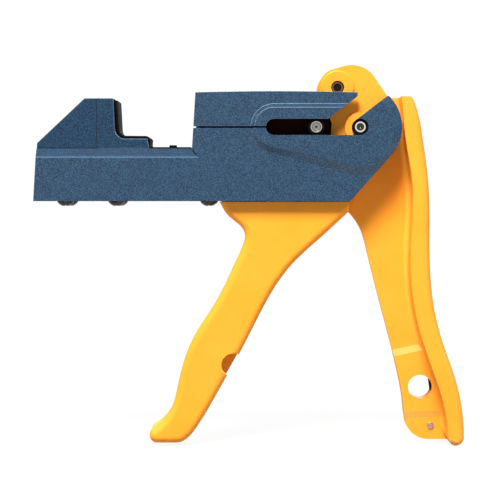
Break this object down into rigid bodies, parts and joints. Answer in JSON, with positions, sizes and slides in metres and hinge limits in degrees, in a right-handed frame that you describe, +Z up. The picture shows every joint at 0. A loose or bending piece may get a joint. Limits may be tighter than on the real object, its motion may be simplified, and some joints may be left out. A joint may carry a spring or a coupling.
{
  "type": "jack termination tool",
  "caption": "Pistol-shaped hand tool with a jack bay on its nose; squeezing the front handle straightens a toggle that drives a blade head into the jack.",
  "frame": {"origin": "under the middle of the tool's length and width, at the foot of the handles", "axes": "+Z up, -X towards the nose, +Y across the tool"},
  "size_m": [0.1894, 0.032, 0.1679],
  "materials": {
    "blue_plastic": "fine moulded texture",
    "yellow_plastic": "semi-gloss",
    "black_plastic": "matte",
    "dark_steel": "blackened",
    "bright_steel": "turned"
  },
  "bodies": {
    "body": {"body_housing": "blue_plastic", "upper_cover": "blue_plastic", "jack_cradle": "blue_plastic", "jack_holder": "black_plastic", "cradle_screws": "dark_steel", "cover_screws": "dark_steel", "rear_handle": "yellow_plastic", "anchor_dowel": "bright_steel", "web_stud": "bright_steel", "pivot_pin": "bright_steel", "pivot_bushings": "black_plastic", "return_spring": "bright_steel"},
    "lever": {"front_handle": "yellow_plastic", "link_pin": "bright_steel"},
    "link": {"toggle_link": "bright_steel"},
    "ram": {"slide": "dark_steel", "slide_pin": "bright_steel", "slide_bushings": "black_plastic", "blade_head": "black_plastic", "seating_blades": "bright_steel", "cutoff_knives": "bright_steel", "head_screws": "dark_steel"}
  },
  "joints": [
    {"name": "squeeze", "type": "hinge", "parent": "body", "child": "lever", "pos_m": [0.048, 0, 0.1405], "axis": [0, -1, 0], "range_deg": [0, 41], "stiffness_Nm_per_rad": 0.3, "springref_deg": -17.19, "deforming": ["return_spring"]},
    {"name": "knee", "type": "hinge", "parent": "lever", "child": "link", "pos_m": [0.03843, 0, 0.15806], "axis": [0, -1, 0], "range_deg": [-82, 0]},
    {"name": "slide_turn", "type": "hinge", "parent": "link", "child": "ram", "pos_m": [0.02885, 0, 0.1405], "axis": [0, -1, 0], "range_deg": [0, 41]}
  ],
  "couplings": [
    {"joint": "knee", "follows": "squeeze", "ratio": -2},
    {"joint": "slide_turn", "follows": "squeeze", "ratio": 1}
  ]
}
